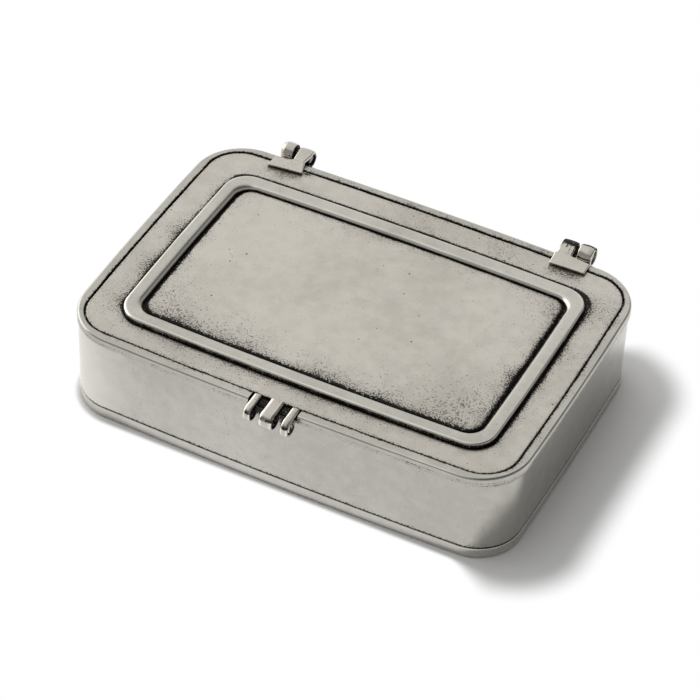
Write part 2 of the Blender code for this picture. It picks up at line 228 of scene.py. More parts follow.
def quarter_turn(steps, first=0):
    """Shares of a quarter turn, with the fall from its start and the rest to its end line."""
    for step in range(first, steps + 1):
        angle = math.pi / 2 * step / steps
        yield step / steps, 1 - math.cos(angle), 1 - math.sin(angle)


def add_object(name, data):
    thing = bpy.data.objects.new(name, data)
    bpy.context.scene.collection.objects.link(thing)
    return thing


class Loops:
    """Equal loops of points, each with its patina and painted shade, and its polish and painted highlight,
    skinned into one piece.
    """

    def __init__(self):
        self.points = []
        self.patina_and_shade = []
        self.polish_and_highlight = []

    def add(self, points, patina_and_shade=0.0, polish_and_highlight=0.0):
        self.points.append(points)
        for values, share in ((self.patina_and_shade, patina_and_shade), (self.polish_and_highlight, polish_and_highlight)):
            values.append(np.clip(np.broadcast_to(share, (len(points),)), 0.0, 1.0))

    def faces(self, closed):
        rows = len(self.points)
        count = len(self.points[0])
        faces = []
        for row in range(rows if closed else rows - 1):
            here = row * count
            there = (row + 1) % rows * count
            for i in range(count):
                j = (i + 1) % count
                faces.append((here + i, here + j, there + j, there + i))
        if not closed:
            faces.append(tuple(reversed(range(count))))
            faces.append(tuple(range((rows - 1) * count, rows * count)))
        return faces

    def piece(self, node, body, look, slot_name, closed, sharp_angle=SHARP_ANGLE):
        """The fine piece that stands for one node of the CAD."""
        name = node + "_fine"
        mesh = bpy.data.meshes.new(name)
        mesh.from_pydata(np.concatenate(self.points).tolist(), [], self.faces(closed))
        for mask, values in (("patina_and_shade", self.patina_and_shade), ("polish_and_highlight", self.polish_and_highlight)):
            layer = mesh.attributes.new(mask, "FLOAT", "POINT")
            layer.data.foreach_set("value", np.concatenate(values).astype(np.float32))
        work = bmesh.new()
        work.from_mesh(mesh)
        bmesh.ops.remove_doubles(work, verts=work.verts, dist=MERGE_DISTANCE)
        bmesh.ops.dissolve_degenerate(work, edges=work.edges, dist=SLIVER_LENGTH)
        bmesh.ops.recalc_face_normals(work, faces=work.faces)
        work.to_mesh(mesh)
        work.free()
        mesh.shade_smooth()
        mesh.set_sharp_from_angle(angle=sharp_angle)
        mesh.materials.append(MATERIALS[look])
        piece = add_object(name, mesh)
        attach(piece, body)
        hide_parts(node)


# Materials


class Tree:
    """Short calls for the nodes of one material or of the world."""

    def __init__(self, owner):
        owner.use_nodes = True
        self.nodes = owner.node_tree.nodes
        self.links = owner.node_tree.links

    def put(self, socket, value):
        if isinstance(value, bpy.types.NodeSocket):
            self.links.new(value, socket)
        else:
            socket.default_value = value

    def fill(self, node, inputs):
        for name, value in inputs.items():
            self.put(node.inputs[name], value)
        return node

    def math(self, operation, *values, clamp=False):
        node = self.nodes.new("ShaderNodeMath")
        node.operation = operation
        node.use_clamp = clamp
        for socket, value in zip(node.inputs, values):
            self.put(socket, value)
        return node.outputs["Value"]

    def weigh(self, *parts, start=0.0):
        """Sum of values, each times its share, on top of a starting value."""
        total = start
        for value, share in parts:
            total = self.math("MULTIPLY_ADD", value, share, total)
        return total

    def ramp(self, value, low, high, to_low=0.0, to_high=1.0):
        node = self.nodes.new("ShaderNodeMapRange")
        node.interpolation_type = "SMOOTHSTEP"
        self.fill(node, {"Value": value, "From Min": low, "From Max": high,
                         "To Min": to_low, "To Max": to_high})
        return node.outputs["Result"]

    def noise(self, place, scale, detail, stretch=(1, 1, 1), turn=0.0):
        mapping = self.fill(self.nodes.new("ShaderNodeMapping"), {
            "Vector": place, "Scale": stretch, "Rotation": (0.0, 0.0, turn)})
        texture = self.fill(self.nodes.new("ShaderNodeTexNoise"), {
            "Vector": mapping.outputs["Vector"], "Scale": scale, "Detail": detail})
        return texture.outputs["Fac"]

    def mix(self, share, first, second):
        node = self.nodes.new("ShaderNodeMix")
        node.data_type = "RGBA"
        colours = [socket for socket in node.inputs if socket.type == "RGBA"]
        self.put(node.inputs["Factor"], share)
        self.put(colours[0], first)
        self.put(colours[1], second)
        return [socket for socket in node.outputs if socket.type == "RGBA"][0]

    def mask(self, name):
        node = self.nodes.new("ShaderNodeAttribute")
        node.attribute_name = name
        return node.outputs["Fac"]

    def split(self, coordinates):
        """The X, Y and Z of the object's or the world's own coordinates."""
        place = self.nodes.new("ShaderNodeTexCoord").outputs[coordinates]
        return self.fill(self.nodes.new("ShaderNodeSeparateXYZ"), {"Vector": place}).outputs


# Noise scales, in repeats per metre
CLOUD_SCALE = 22.0
MOTTLING_SCALE = 240.0
GRAIN_SCALE = 1700.0
DOT_SCALE = 2000.0
BLOTCH_SCALE = 620.0
PIT_SCALE = 340.0
LONG_HAIRLINE_SCALE = 60.0
CROSS_HAIRLINE_SCALE = 70.0

RELIEF_STRENGTH = 0.3
RELIEF_HEIGHT = 0.05 * MM
# How much the polish mask brightens the colour, as a painted highlight
PAINTED_HIGHLIGHT_BRIGHTNESS = 1.6
# Colour of the patina and of the painted shade
PATINA_AND_SHADE = (0.030, 0.028, 0.025, 1.0)
PIT = (0.05, 0.047, 0.042, 1.0)


def pewter(name, light, shade, roughness, pit_share):
    """Satin pewter: cloudy tone, patina stipple and painted shade, pits, hairlines and polished edges with
    a painted highlight.
    """
    material = bpy.data.materials.new(name)
    tree = Tree(material)
    shader = tree.nodes["Principled BSDF"]
    place = tree.nodes.new("ShaderNodeTexCoord").outputs["Object"]
    patina_and_shade = tree.mask("patina_and_shade")
    polish_and_highlight = tree.mask("polish_and_highlight")

    # Clouds of tone, from hand-sized to fingertip-sized
    clouds = tree.noise(place, CLOUD_SCALE, 2.0)
    mottling = tree.noise(place, MOTTLING_SCALE, 4.0)
    grain = tree.noise(place, GRAIN_SCALE, 3.0)
    tone = tree.weigh((mottling, 0.3), (clouds, 0.6), (grain, 0.14))
    tone = tree.ramp(tone, 0.38, 0.66)
    colour = tree.mix(tone, light, shade)

    # Patina, and painted shade in the same mask: solid in the crevices, breaking up into dark stipple away
    # from them
    dots = tree.noise(place, DOT_SCALE, 1.0)
    blotches = tree.noise(place, BLOTCH_SCALE, 3.0)
    reach = tree.weigh((blotches, 0.35), (dots, 1.15), (patina_and_shade, 0.55), start=-0.21)
    cover = tree.ramp(reach, 0.77, 0.9)
    depth = tree.ramp(patina_and_shade, 0.1, 0.9, 0.55, 1.0)
    stipple = tree.math("MULTIPLY", cover, depth)
    haze = tree.ramp(patina_and_shade, 0.0, 1.0, 0.0, 0.3)
    dirty = tree.math("MAXIMUM", stipple, haze, clamp=True)
    colour = tree.mix(dirty, colour, PATINA_AND_SHADE)

    # Scattered casting pits
    cells = tree.fill(tree.nodes.new("ShaderNodeTexVoronoi"), {"Vector": place, "Scale": PIT_SCALE})
    chosen = tree.fill(tree.nodes.new("ShaderNodeSeparateColor"), {"Color": cells.outputs["Color"]})
    size = tree.ramp(chosen.outputs["Red"], 1.0 - pit_share, 1.0, 0.0, 0.14)
    pit = tree.math("SUBTRACT", size, cells.outputs["Distance"])
    pit = tree.ramp(pit, 0.0, 0.06)
    colour = tree.mix(pit, colour, PIT)

    # Painted highlight: polished edges brightened
    highlight_colour = tuple(min(1.0, part * PAINTED_HIGHLIGHT_BRIGHTNESS) for part in light[:3]) + (1.0,)
    painted_highlight = tree.math("MULTIPLY", polish_and_highlight, 0.9)
    colour = tree.mix(painted_highlight, colour, highlight_colour)

    # Hairlines in two directions
    first = tree.noise(place, LONG_HAIRLINE_SCALE, 2.0, (1.0, 34.0, 1.0), 0.35)
    second = tree.noise(place, CROSS_HAIRLINE_SCALE, 2.0, (30.0, 1.0, 1.0), 0.9)
    lines = tree.math("MAXIMUM", tree.ramp(first, 0.62, 0.68), tree.ramp(second, 0.64, 0.7))

    # Satin finish, duller in the patina and shinier where rubbed
    rough = tree.ramp(mottling, 0.3, 0.7, roughness - 0.03, roughness + 0.04)
    rough = tree.weigh((lines, 0.05), (dirty, 0.28), (polish_and_highlight, -0.1), start=rough)

    # Relief of the grain, with the pits, the etched patina and the hairlines sunk in
    height = tree.weigh((grain, 0.5), (mottling, 0.6), (pit, -1.2), (stipple, -0.5), (lines, -0.2))
    bump = tree.fill(tree.nodes.new("ShaderNodeBump"), {
        "Height": height, "Strength": RELIEF_STRENGTH, "Distance": RELIEF_HEIGHT})
    tree.fill(shader, {"Base Color": colour, "Roughness": rough, "Metallic": 1.0,
                       "Normal": bump.outputs["Normal"]})
    return material


PANEL_LIGHT = (0.595, 0.565, 0.51, 1.0)
PANEL_SHADE = (0.51, 0.48, 0.43, 1.0)
BEAD_LIGHT = (0.545, 0.53, 0.485, 1.0)
BEAD_SHADE = (0.455, 0.44, 0.4, 1.0)
WALL_LIGHT = (0.52, 0.505, 0.465, 1.0)
WALL_SHADE = (0.44, 0.425, 0.385, 1.0)
PIN_LIGHT = (0.42, 0.40, 0.36, 1.0)
PIN_SHADE = (0.22, 0.205, 0.185, 1.0)

# Light tone, shade, roughness and share of pits of each look
LOOKS = {
    "lid": (PANEL_LIGHT, PANEL_SHADE, 0.34, 0.3),
    "bead": (BEAD_LIGHT, BEAD_SHADE, 0.27, 0.06),
    "rim": (WALL_LIGHT, WALL_SHADE, 0.25, 0.2),
    "wall": (WALL_LIGHT, WALL_SHADE, 0.19, 0.05),
    "base": (WALL_LIGHT, WALL_SHADE, 0.28, 0.06),
    "strap": (PANEL_LIGHT, PANEL_SHADE, 0.2, 0.05),
    "pin": (PIN_LIGHT, PIN_SHADE, 0.4, 0.1),
}
MATERIALS = {look: pewter(look + "_pewter_look", *values) for look, values in LOOKS.items()}


# Body and lid sheets

# Stippled patina patches on the lid's top, with painted shade beside the clasp, along the hinge webs'
# front edges and beside the left web: x, y and reach in mm, then a share of full patina
LID_STAINS_AND_SHADE = (
    (-55.0, -18.0, 10.0, 0.1), (-46.0, -33.0, 12.0, 0.32), (-20.0, -36.0, 13.0, 0.32),
    (8.0, -37.0, 11.0, 0.28), (29.0, -35.5, 11.0, 0.26), (50.0, -26.0, 12.0, 0.36),
    (55.0, 28.0, 9.0, 0.24), (58.5, 12.0, 6.0, 0.26), (58.5, -6.0, 6.0, 0.28),
    (-67.5, 4.0, 6.0, 0.24), (-66.5, -15.0, 6.0, 0.24), (-65.0, -36.0, 9.0, 0.22),
    (-40.0, -50.0, 9.0, 0.12), (71.0, 36.0, 10.0, 0.26), (70.0, 12.0, 8.0, 0.14),
    (-7.0, -55.6, 0.8, 0.9), (3.2, -56.2, 0.8, 0.9), (-55.0, 46.6, 2.4, 0.4),
    (-50.5, 46.2, 2.6, 0.5), (-46.5, 46.8, 2.2, 0.45), (47.5, 46.2, 2.4, 0.45),
    (51.5, 46.2, 2.8, 0.5), (55.5, 46.6, 2.4, 0.45), (-43.4, 50.6, 1.8, 0.9),
    (0.0, 47.5, 14.0, 0.16), (30.0, 47.5, 9.0, 0.22),
)


def stains_and_shade_at(points):
    total = np.zeros(len(points))
    for x, y, reach, strength in LID_STAINS_AND_SHADE:
        distance = np.hypot(points[:, 0] - x * MM, points[:, 1] - y * MM)
        total += strength * np.exp(-(distance / (reach * MM)) ** 2)
    return total


# The lid's roundings and how far its patina reaches from the edges
LID_EDGE_ROUND = 0.4 * MM
LID_DIP = 0.2 * MM
LID_DIP_REACH = 0.4 * MM
PANEL_ROLL = 0.6 * MM
PANEL_ROLL_REACH = 0.5 * MM
STIPPLE_REACH = 2.6 * MM
BEAD_LINE = 0.5 * MM
FRONT_BEAD_LINE = 0.08 * MM
PANEL_LINE = 0.35 * MM
LID_EDGE_LINE = 0.35 * MM
BACK_SHADE = (-2.2 * MM, -1.7 * MM)

# The lid's unevenness: the size of its waves, their amount and a seed
LID_EDGE_WAVE = (13 * MM, 0.12 * MM, 2.7)
LID_TOP_EDGE_WAVE = (13 * MM, 0.14 * MM, 2.7)
GROOVE_OUTSIDE_WAVE = (10 * MM, 0.16 * MM, 4.9)
GROOVE_INSIDE_WAVE = (8 * MM, 0.18 * MM, 3.7)
BORDER_SWELL = (24 * MM, 0.05 * MM, 3.1)
PANEL_SWELL = (26 * MM, 0.06 * MM, 7.7)
BORDER_STIPPLE = (12 * MM, 0.9, 8.3)
PANEL_STIPPLE = (12 * MM, 0.9, 1.9)

# Where the lid's rings lie: shares across, depths from the panel's edge, shares of its last ring
UNDERSIDE_SHARES = (0.1, 0.3, 0.55, 0.8, 0.97)
BORDER_SHARES = (0.04, 0.1, 0.2, 0.32, 0.44, 0.56, 0.67, 0.74, 0.8, 0.86, 0.91, 0.95, 0.98, 1.0)
PANEL_DEPTHS = np.array([0.0, 0.12, 0.3, 0.55, 0.9, 1.3, 1.8, 2.4, 3.1, 3.9, 4.8]) * MM
PANEL_SWELL_DEPTH = 3.0 * MM
PANEL_SHRINK_SHARES = (0.96, 0.91, 0.85, 0.78, 0.7, 0.62, 0.54, 0.46, 0.38, 0.3, 0.22, 0.14, 0.06)


def stipple_beside(distance, points, wave, solid):
    """Patina beside a groove: a solid line, then stipple that thins out unevenly."""
    uneven = 1.0 + waves(points, wave)
    return 1.2 * fade(distance, solid) + 0.43 * uneven * fade(distance, STIPPLE_REACH)


def make_lid():
    lid_inset = RIM_TOP_WIDTH + LID_GAP
    lid_radius = MOUTH_CORNER_RADIUS - LID_GAP
    inner_inset = BEAD_INNER_INSET + PANEL_GROOVE_WIDTH
    inner_radius = BEAD_INNER_CORNER_RADIUS - 0.3 * PANEL_GROOVE_WIDTH
    edge = wander(outline(lid_inset, lid_radius), LID_EDGE_WAVE)
    top_edge = outline(lid_inset + LID_EDGE_ROUND, lid_radius - LID_EDGE_ROUND)
    top_edge = wander(top_edge, LID_TOP_EDGE_WAVE)
    groove_outside = bead_outline(BEAD_OUTER_INSET - SEAT_GAP, BEAD_OUTER_CORNER_RADIUS + SEAT_GAP)
    groove_outside = wander(groove_outside, GROOVE_OUTSIDE_WAVE)
    panel_edge = bead_outline(inner_inset, inner_radius)
    narrowing = (PANEL_GROOVE_WIDTH - BACK_GROOVE_WIDTH) * facing_back(panel_edge)
    groove_inside = wander(push(panel_edge, narrowing), GROOVE_INSIDE_WAVE)
    loops = Loops()

    # Underside rings, then the edge and its small round, darkened with painted shade in the gap round the
    # lid
    for share in UNDERSIDE_SHARES:
        loops.add(lift(edge * share, LID_BOTTOM), 0.12)
    loops.add(lift(edge, LID_BOTTOM), 0.5)
    loops.add(lift(edge, LID_BOTTOM + LID_EDGE_ROUND), 0.9)
    loops.add(lift(edge, LID_TOP - LID_EDGE_ROUND), 1.0)
    for share, fall, rest in quarter_turn(4, first=1):
        plan = edge + (top_edge - edge) * fall
        loops.add(lift(plan, LID_TOP - LID_EDGE_ROUND * rest), 0.95 - 0.6 * share)

    # Border: nearly flat, dipping into the groove along the bead
    border_width = np.hypot(*(groove_outside - top_edge).T)
    for share in BORDER_SHARES:
        plan = top_edge + (groove_outside - top_edge) * share
        points = lift(plan, LID_TOP)
        to_bead = border_width * (1 - share)
        from_edge = border_width * share
        swell = waves(points, BORDER_SWELL) * min(1.0, 6 * share)
        dip = LID_DIP * fade(to_bead, LID_DIP_REACH)
        in_front = smooth(-outward(plan)[:, 1], 0.2, 0.9)
        line = BEAD_LINE + (FRONT_BEAD_LINE - BEAD_LINE) * in_front
        dark = stipple_beside(to_bead, points, BORDER_STIPPLE, line) * (1 - 0.35 * in_front)
        dark = dark + facing_back(plan) * smooth(-to_bead, *BACK_SHADE)
        # Painted shade along the lid's edge beside the gap
        dark = dark + 0.45 * fade(from_edge, LID_EDGE_LINE)
        loops.add(lift(plan, LID_TOP + swell - dip), dark + stains_and_shade_at(points) + 0.05)
    loops.add(lift(groove_outside, LID_TOP - GROOVE_DEPTH), 1.0)
    loops.add(lift(groove_inside, LID_TOP - GROOVE_DEPTH), 1.0)

    # Panel: offset rings near its edge, then rings shrinking to the middle
    panel_top = LID_TOP + PANEL_LIFT
    half_panel = RIM_WIDTH / 2 - inner_inset

    def add_ring(plan, inward, width_share):
        points = lift(plan, panel_top)
        swell = waves(points, PANEL_SWELL) * min(1.0, inward / PANEL_SWELL_DEPTH)
        roll = PANEL_ROLL * fade(inward, PANEL_ROLL_REACH) * (inward <= PANEL_DEPTHS[-1])
        crown = PANEL_CROWN * (1 - width_share ** 2)
        dark = stipple_beside(inward, points, PANEL_STIPPLE, PANEL_LINE) + stains_and_shade_at(points)
        loops.add(lift(plan, panel_top + swell - roll + crown), dark)

    for depth in PANEL_DEPTHS:
        plan = bead_outline(inner_inset + depth, inner_radius - 0.9 * depth)
        plan = plan + (groove_inside - panel_edge) * (1 - depth / PANEL_DEPTHS[-1])
        width_share = 1 - depth / half_panel
        add_ring(plan, depth, width_share)
    for shrink in PANEL_SHRINK_SHARES:
        ring = BEAD_CENTRE + (plan - BEAD_CENTRE) * shrink
        add_ring(ring, depth + (1 - shrink) * half_panel, width_share * shrink)
    loops.piece("lid_plate", "lid", "lid", "lid_pewter", closed=False)


# Section across the bead: share across, share up, then patina and polish with painted highlight. A polish
# above 1 stays full where the bead is little worn.
BEAD_SECTION_SHARES = (
    (0.0, -0.2, 1.0, 0.0), (0.004, 0.15, 1.0, 0.0), (0.015, 0.5, 0.9, 0.0),
    (0.035, 0.74, 0.1, 1.0), (0.065, 0.87, 0.0, 1.6), (0.11, 0.93, 0.0, 1.3),
    (0.2, 0.955, 0.0, 0.0), (0.29, 0.972, 0.0, 0.0), (0.345, 0.972, 0.16, 0.0),
    (0.4, 0.99, 0.0, 0.0), (0.52, 1.0, 0.0, 0.0), (0.64, 0.98, 0.0, 0.0),
    (0.74, 0.92, 0.0, 0.0), (0.82, 0.83, 0.0, 0.1), (0.885, 0.7, 0.0, 0.3),
    (0.935, 0.53, 0.0, 0.3), (0.97, 0.35, 0.1, 0.2), (0.99, 0.15, 0.6, 0.0),
    (1.0, -0.1, 1.0, 0.0),
)
BEAD_SWELL = (11 * MM, 0.05 * MM, 1.3)
BEAD_WEAR = (17 * MM, 0.8, 5.9)
BEAD_CREASE = (26 * MM, 1.0, 3.3)
BEAD_STREAKS = (4 * MM, 0.5, 6.2)


def make_bead():
    outside = bead_outline(BEAD_OUTER_INSET, BEAD_OUTER_CORNER_RADIUS)
    inside = bead_outline(BEAD_INNER_INSET, BEAD_INNER_CORNER_RADIUS)
    rise = BEAD_TOP - LID_TOP
    loops = Loops()
    loops.add(lift(outside, BEAD_BOTTOM), 1.0)
    for across, up, dark, polish_and_shine in BEAD_SECTION_SHARES:
        plan = outside + (inside - outside) * across
        points = lift(plan, LID_TOP)
        swell = waves(points, BEAD_SWELL) * max(up, 0.0)
        height = np.minimum(LID_TOP + rise * up + swell, BEAD_TOP)

        # The outer foot is streaked and the crease along the top comes and goes
        if 0.0 < across < 0.03:
            dark = dark * (0.85 + waves(points, BEAD_STREAKS))
        if 0.3 < across < 0.36:
            dark = dark * smooth(waves(points, BEAD_CREASE), -0.15, 0.25)

        # Painted highlight on the outer edge, most on the left, and on the inner edge, most at the back
        if across < 0.2:
            highlight_side = 0.45 + 0.55 * smooth(-outward(plan)[:, 0], 0.1, 0.8)
        else:
            highlight_side = 1.0 + 2.2 * facing_back(plan)
        worn = 0.6 + waves(points, BEAD_WEAR)
        loops.add(lift(plan, height), dark, polish_and_shine * worn * highlight_side)
    loops.add(lift(inside, BEAD_BOTTOM), 1.0)
    loops.piece("lid_bead", "lid", "bead", "bead_pewter", closed=True)


WALL_SHARES = (0.0, 0.01, 0.03, 0.07, 0.14, 0.25, 0.38, 0.52, 0.66, 0.78, 0.87, 0.93, 0.97, 0.99, 1.0)
WALL_INSIDE_SHARES = (1.0, 0.75, 0.5, 0.25, 0.05, 0.0)
WALL_FOOT_LINE = 0.4 * MM
WALL_HEAD_LINE = 0.5 * MM
WALL_HEAD_FLARE = 0.15 * MM
WALL_SWELL = (30 * MM, 0.07 * MM, 9.2)
CLASP_SHADE_LOW = BAY_LOW + 1.0 * MM
CLASP_SHADE_HIGH = BAY_HIGH - 2.0 * MM
CLASP_SHADE_HEIGHTS = (WALL_TOP - 4.8 * MM, WALL_TOP - 2.5 * MM)
CORNER_HIGHLIGHT_REACHES = (5 * MM, 30 * MM)


def make_wall():
    loops = Loops()
    tall = WALL_TOP - WALL_BOTTOM
    for share in WALL_SHARES:
        height = WALL_BOTTOM + tall * share
        # Dark at the foot's seam, and at the head as a joint deepened with painted shade under the rim's
        # skirt
        foot = fade(share * tall, WALL_FOOT_LINE)
        head = fade((1 - share) * tall, WALL_HEAD_LINE)
        inset = WALL_SETBACK - WALL_HEAD_FLARE * head
        plan = outline(inset, WALL_CORNER_RADIUS + WALL_SETBACK - inset)
        swell = waves(lift(plan, height), WALL_SWELL)
        plan = push(plan, swell * min(1.0, 12 * share * (1 - share)))

        # Painted shade on the wall behind the clasp, and a painted highlight at the left front corner
        x, y = plan.T
        by_clasp = (x > CLASP_SHADE_LOW) & (x < CLASP_SHADE_HIGH) & (y < 0)
        shaded = by_clasp * smooth(height, *CLASP_SHADE_HEIGHTS)
        corner = np.hypot(x + RIM_LENGTH / 2, y + RIM_WIDTH / 2)
        painted_highlight = 0.65 * (1 - smooth(corner, *CORNER_HIGHLIGHT_REACHES))
        loops.add(lift(plan, height), 0.9 * foot + head + 0.9 * shaded, painted_highlight)
    inside = outline(WALL_SETBACK + WALL_THICKNESS, WALL_CORNER_RADIUS - WALL_THICKNESS)
    for share in WALL_INSIDE_SHARES:
        loops.add(lift(inside, WALL_BOTTOM + tall * share), 0.1 + 0.3 * (share < 0.1))
    loops.piece("box_wall", "box_body", "wall", "wall_pewter", closed=True)


BASE_EDGE_ROUND = 0.9 * MM
BASE_LIP_ROUND = 0.3 * MM
BASE_FILLET = 0.6 * MM


def make_base():
    loops = Loops()

    def base_outline(inset):
        return outline(BASE_SETBACK + inset, BASE_CORNER_RADIUS - inset)

    # Underside, the rounded foot, the band's side and its upper round, with polish and a painted highlight
    # on the foot and band
    for share in (0.1, 0.4, 0.7, 0.95):
        loops.add(lift(base_outline(BASE_EDGE_ROUND) * share, 0.0), 0.12)
    for share, fall, rest in quarter_turn(6):
        plan = base_outline(BASE_EDGE_ROUND * rest)
        loops.add(lift(plan, BASE_EDGE_ROUND * fall), 0.2 * (1 - share), 0.25 * share)
    for share in (0.35, 0.6, 0.8):
        height = BASE_EDGE_ROUND + (BAND_TOP - BASE_EDGE_ROUND) * share
        loops.add(lift(base_outline(0.0), height), 0.0, 0.15)
    for share, fall, rest in quarter_turn(4, first=1):
        plan = base_outline(BASE_LIP_ROUND * fall)
        height = BAND_TOP - BASE_LIP_ROUND * rest
        loops.add(lift(plan, height), 0.9 * share ** 2, 0.5 * (1 - share))

    # Inside: down the band, through the fillet and across the floor
    loops.add(lift(base_outline(BAND_THICKNESS), BAND_TOP), 0.9)
    loops.add(lift(base_outline(BAND_THICKNESS), FLOOR_THICKNESS + BASE_FILLET), 0.45)
    for share, fall, rest in quarter_turn(4, first=1):
        plan = base_outline(BAND_THICKNESS + BASE_FILLET * fall)
        loops.add(lift(plan, FLOOR_THICKNESS + BASE_FILLET * rest), 0.5)
    floor_edge = base_outline(BAND_THICKNESS + BASE_FILLET)
    for share, dark in ((0.985, 0.32), (0.95, 0.2), (0.88, 0.12), (0.6, 0.08), (0.3, 0.06), (0.08, 0.06)):
        loops.add(lift(floor_edge * share, FLOOR_THICKNESS), dark)
    loops.piece("base_plate", "box_body", "base", "base_pewter", closed=False)


SKIRT_ROUND = 0.25 * MM
MOUTH_ROUND = 0.25 * MM
MOUTH_WAVE = (11 * MM, 0.12 * MM, 6.6)
RIM_TOP_DIP = 0.03 * MM
RIM_TOP_SWELL = (14 * MM, 0.04 * MM, 4.4)
RIM_BLOTCHES = (9 * MM, 1.1, 6.1)
RIM_WEAR = (15 * MM, 0.8, 2.2)
RIM_CREASE = (20 * MM, 1.0, 5.1)
HINGE_PATINA_PLACE = 44 * MM
HINGE_PATINA_REACH = 9 * MM

# Mottled band on the rim's side: height above the lip, share of its mottling
RIM_BAND_SHARES = ((0.1 * MM, 0.1), (0.35 * MM, 1.0), (0.6 * MM, 1.0), (0.85 * MM, 0.0))


def make_rim():
    loops = Loops()

    def add(plan, height, dark, polish_and_shine=0.0):
        """One loop of the rim, pressed in at the clasp's bay and darkened there with painted shade."""
        points = lift(plan, height)
        x, y, z = points.T
        in_bay = (x > BAY_LOW) & (x < BAY_HIGH) & (y < 0)
        y[in_bay] = np.maximum(y[in_bay], WALL_SETBACK - RIM_WIDTH / 2)
        z[in_bay] = np.minimum(z[in_bay], BAY_TOP)
        loops.add(points, np.where(in_bay, 0.95, dark), np.where(in_bay, 0.0, polish_and_shine))

    def rim_outline(inset):
        return outline(inset, RIM_CORNER_RADIUS - inset)

    # The leg inside the wall and the skirt outside it, dark underneath as painted shade
    leg_inset = WALL_SETBACK + WALL_THICKNESS + SEAT_GAP
    leg_outside = outline(leg_inset, WALL_CORNER_RADIUS - WALL_THICKNESS - SEAT_GAP)
    add(leg_outside, LEG_BOTTOM, 0.2)
    add(leg_outside, LIP_BOTTOM, 0.8)
    skirt_bottom = LIP_BOTTOM - SKIRT_DROP
    add(rim_outline(2 * SKIRT_ROUND), LIP_BOTTOM, 1.0)
    add(rim_outline(2 * SKIRT_ROUND), skirt_bottom, 1.0)
    for share, fall, rest in quarter_turn(3):
        height = skirt_bottom + SKIRT_ROUND * fall
        add(rim_outline(SKIRT_ROUND * rest), height, 1.0 - 0.75 * share)

    # The side, and the rounded edge with polish and a painted highlight
    side = rim_outline(0.0)
    creased = smooth(waves(side, RIM_CREASE), -0.1, 0.3)
    for height, mottled in RIM_BAND_SHARES:
        add(side, LIP_BOTTOM + height, mottled * (0.28 + 0.22 * creased))
    for share, fall, rest in quarter_turn(8):
        plan = rim_outline(RIM_EDGE_ROUND * fall)
        polish_and_shine = 0.7 * math.sin(math.pi * share) * (0.4 + waves(plan, RIM_WEAR))
        add(plan, RIM_TOP - RIM_EDGE_ROUND * rest, 0.0, polish_and_shine)

    # The top, the mouth round the lid and the ledge under it, darkening with painted shade into the gap
    # round the lid
    start = rim_outline(RIM_EDGE_ROUND)
    mouth = wander(outline(RIM_TOP_WIDTH, MOUTH_CORNER_RADIUS), MOUTH_WAVE)
    mouth_top = outline(RIM_TOP_WIDTH - MOUTH_ROUND, MOUTH_CORNER_RADIUS + MOUTH_ROUND)
    mouth_top = wander(mouth_top, MOUTH_WAVE)
    for share in (0.2, 0.45, 0.7, 0.9, 1.0):
        plan = start + (mouth_top - start) * share
        height = np.minimum(RIM_TOP + waves(plan, RIM_TOP_SWELL) - RIM_TOP_DIP, RIM_TOP)
        blotch = np.clip(0.2 + waves(plan, RIM_BLOTCHES), 0.0, 1.0)
        behind = facing_back(plan)
        by_hinge = behind * fade(np.abs(plan[:, 0] - HINGE_PATINA_PLACE), HINGE_PATINA_REACH)
        add(plan, height, 0.3 * blotch + 0.12 * behind + 0.3 * by_hinge + 0.6 * share ** 8)
    add(mouth * 0.7 + mouth_top * 0.3, RIM_TOP - MOUTH_ROUND * 0.35, 0.9)
    add(mouth, RIM_TOP - MOUTH_ROUND, 1.0)
    add(mouth, LEDGE_TOP, 0.8)
    ledge = outline(RIM_TOP_WIDTH + LEDGE_WIDTH, LEG_CORNER_RADIUS)
    add(mouth * 0.85 + ledge * 0.15, LEDGE_TOP, 0.35)
    add(ledge, LEDGE_TOP, 0.1)
    add(ledge, LEG_BOTTOM, 0.1)
    loops.piece("top_rim", "box_body", "rim", "rim_pewter", closed=True)


# Straps: the hinge leaves and the clasp straps

STRAP_WAVE_SIZE = 3 * MM
STRAP_WAVE = 0.06 * MM
END_ROUND_SHARE = 0.3
END_TURN_SHARES = (0.85, 0.5, 0.15)


